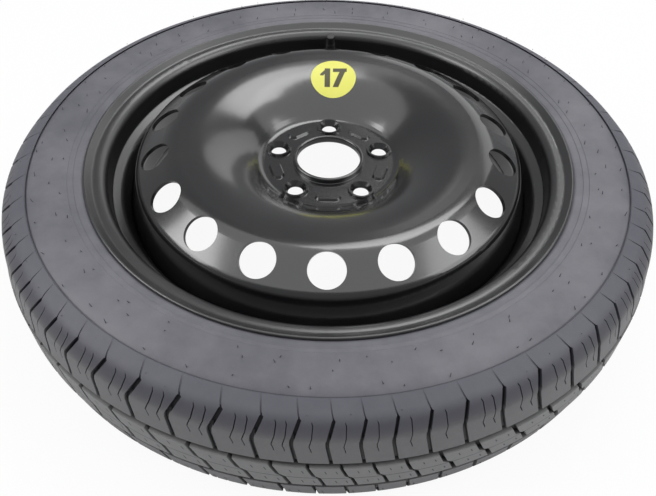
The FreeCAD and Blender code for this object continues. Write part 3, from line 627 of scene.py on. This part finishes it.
def spews():
    """Short rubber hairs that the mould's vents leave, except on the sidewall that it lies on."""
    mesh = bmesh.new()
    wave_and_shade = mesh.verts.layers.float_vector.new("wave_and_shade")
    for sign in (1, -1):
        for radius, height, count in HAIR_RINGS:
            for i in range(count):
                angle = 2 * math.pi * (i + RNG.uniform(-HAIR_SPREAD, HAIR_SPREAD)) / count
                short = sign < 0 or radius > SHORT_FROM_RADIUS
                length = RNG.uniform(*(SHORT_HAIR if short else LONG_HAIR))
                if sign < 0 and height > RESTING_HEIGHT:
                    continue
                r = radius + RNG.uniform(-HAIR_STRAY, HAIR_STRAY)
                shape = bmesh.ops.create_cone(
                    mesh,
                    segments=5,
                    cap_ends=True,
                    radius1=HAIR_FOOT * MM,
                    radius2=HAIR_TIP * MM,
                    depth=length * MM,
                )
                lean = Matrix.Rotation(RNG.uniform(-HAIR_LEAN, HAIR_LEAN), 4, "X")
                lean = lean @ Matrix.Rotation(RNG.uniform(-HAIR_LEAN, HAIR_LEAN), 4, "Y")
                z = MIDDLE + sign * (height - HAIR_SINK)
                foot = Vector((r * math.cos(angle), r * math.sin(angle), z)) * MM
                lift = Matrix.Translation((0, 0, sign * length * MM / 2))
                bmesh.ops.transform(
                    mesh, matrix=Matrix.Translation(foot) @ lean @ lift, verts=shape["verts"]
                )
    # The hairs carry that painted shade in the vertex attribute
    for vert in mesh.verts:
        vert[wave_and_shade] = (1.0, 0.0, HAIR_SHADE)
    new_piece("vent_spews", mesh, bpy.data.materials["tyre_rubber"], "wheel")


# Wheel, valve and label


def dress(node, material):
    """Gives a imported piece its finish."""
    piece = frame["nodes"][node]
    piece.data.materials.clear()
    piece.data.materials.append(material)


def finish_pieces():
    paint = black_paint("black_paint", 0.0)
    rim_paint = black_paint("rim_paint", 0.16)
    rubber = valve_rubber()
    brass = turned_brass()
    dress("rim", rim_paint)
    for node in ("wheel_disc", "disc_welds"):
        dress(node, paint)
    for node in ("valve_body", "valve_pin_seal", "valve_cap_seal"):
        dress(node, rubber)
    for node in ("valve_stem", "valve_core_barrel", "valve_pin"):
        dress(node, brass)
    dress("valve_cap", cap_plastic())
    dress("round_label", label_film())


def core_spring():
    """The valve's spring, rebuilt with merged vertices and smooth shading on a mesh of its own."""
    mesh = bmesh.new()
    mesh.from_mesh(frame["nodes"]["valve_spring"].data)
    bmesh.ops.remove_doubles(mesh, verts=mesh.verts[:], dist=1e-7)
    piece = new_piece("core_spring", mesh, spring_wire(), "wheel")
    smooth(piece, 40)
    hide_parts("valve_spring")
    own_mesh(piece)


# Studio

CAMERA_HEIGHT = 0.5326
CAMERA_AWAY = 0.5244
CAMERA_PITCH = math.radians(47.2)
CAMERA_YAW = math.radians(0.09)
CAMERA_ROLL = math.radians(-0.94)
FOCAL_PIXELS = 669.6
PHOTO_WIDTH = 656
SENSOR = 36.0
FLOOR_HALF = 6.0
# Shares of plain white that the floor and the world show
FLOOR_WHITE = 0.93
FLOOR_GLOSS = 0.25
WORLD_WHITE = 1.0
WORLD_GLOSS = 0.1


def camera():
    forward = Vector(
        (
            math.sin(CAMERA_YAW) * math.cos(CAMERA_PITCH),
            math.cos(CAMERA_YAW) * math.cos(CAMERA_PITCH),
            -math.sin(CAMERA_PITCH),
        )
    )
    right = Vector((math.cos(CAMERA_YAW), -math.sin(CAMERA_YAW), 0.0))
    up = right.cross(forward)
    across = right * math.cos(CAMERA_ROLL) - up * math.sin(CAMERA_ROLL)
    rise = right * math.sin(CAMERA_ROLL) + up * math.cos(CAMERA_ROLL)
    data = bpy.data.cameras.new("camera")
    data.sensor_width = SENSOR
    data.lens = FOCAL_PIXELS * SENSOR / PHOTO_WIDTH
    data.clip_start = 0.01
    view = bpy.data.objects.new("camera", data)
    bpy.context.scene.collection.objects.link(view)
    view.matrix_world = Matrix.Translation((0, -CAMERA_AWAY, CAMERA_HEIGHT)) @ Matrix(
        (across, rise, -forward)
    ).transposed().to_4x4()
    bpy.context.scene.camera = view


def lamp(name, place, target, size, power):
    data = bpy.data.lights.new(name, "AREA")
    data.shape = "RECTANGLE"
    data.size, data.size_y = size
    data.energy = power
    light = bpy.data.objects.new(name, data)
    bpy.context.scene.collection.objects.link(light)
    place = Vector(place)
    light.location = place
    light.rotation_euler = (Vector(target) - place).to_track_quat("-Z", "Y").to_euler()


def seen_share(shader, straight, mirrored):
    """Share of plain white that a ray sees, straight or through glass, or mirrored in gloss."""
    camera_ray = shader.node("ShaderNodeLightPath", output="Is Camera Ray")
    glossy_ray = shader.node("ShaderNodeLightPath", output="Is Glossy Ray")
    clear_ray = shader.node("ShaderNodeLightPath", output="Is Transmission Ray")
    return (camera_ray.most(clear_ray) * straight).most(glossy_ray * mirrored)


def floor():
    mesh = bmesh.new()
    bmesh.ops.create_grid(mesh, x_segments=1, y_segments=1, size=FLOOR_HALF)
    data = bpy.data.meshes.new("floor")
    mesh.to_mesh(data)
    mesh.free()
    ground = bpy.data.objects.new("floor", data)
    bpy.context.scene.collection.objects.link(ground)
    shader = Shader("floor")
    shader.set(Base_Color=(0.86, 0.86, 0.87, 1.0), Roughness=0.9)
    seen = seen_share(shader, FLOOR_WHITE, FLOOR_GLOSS)
    glow = shader.node("ShaderNodeEmission", None, {"Strength": 1.0})
    plain = Value(shader, shader.surface.outputs[0])
    surface = shader.node("ShaderNodeMixShader", None, {0: seen, 1: plain, 2: glow})
    shader.feed(shader.tree.nodes["Material Output"].inputs["Surface"], surface)
    data.materials.append(shader.owner)


def world():
    shader = Shader("studio", bpy.data.worlds)
    bpy.context.scene.world = shader.owner
    seen = seen_share(shader, WORLD_WHITE, WORLD_GLOSS)
    dim = shader.node("ShaderNodeBackground", None, {"Color": (0.95, 0.97, 1.0, 1.0), "Strength": 0.22})
    white = shader.node("ShaderNodeBackground", None, {"Color": (1.0, 1.0, 1.0, 1.0), "Strength": 1.0})
    surface = shader.node("ShaderNodeMixShader", None, {0: seen, 1: dim, 2: white})
    shader.feed(shader.tree.nodes["World Output"].inputs["Surface"], surface)


def studio():
    camera()
    floor()
    world()
    lamp("ceiling", (0.0, -0.3, 2.1), (0.0, -0.3, 0.0), (5.2, 2.8), 38.0)
    lamp("left_panel", (-1.4, -0.2, 1.15), (0, 0, 0.1), (0.9, 0.8), 9.0)
    lamp("right_panel", (1.5, -0.3, 1.2), (0, 0, 0.1), (1.2, 1.1), 9.0)
    lamp("top_panel", (0.45, 1.05, 2.0), (0, 0, 0.1), (1.1, 0.9), 11.0)
    lamp("back_panel", (0.9, 1.7, 1.1), (0, 0, 0.1), (1.6, 0.8), 3.5)
    bpy.context.scene.view_settings.view_transform = "Standard"


finish_pieces()
tyre()
spews()
core_spring()
studio()
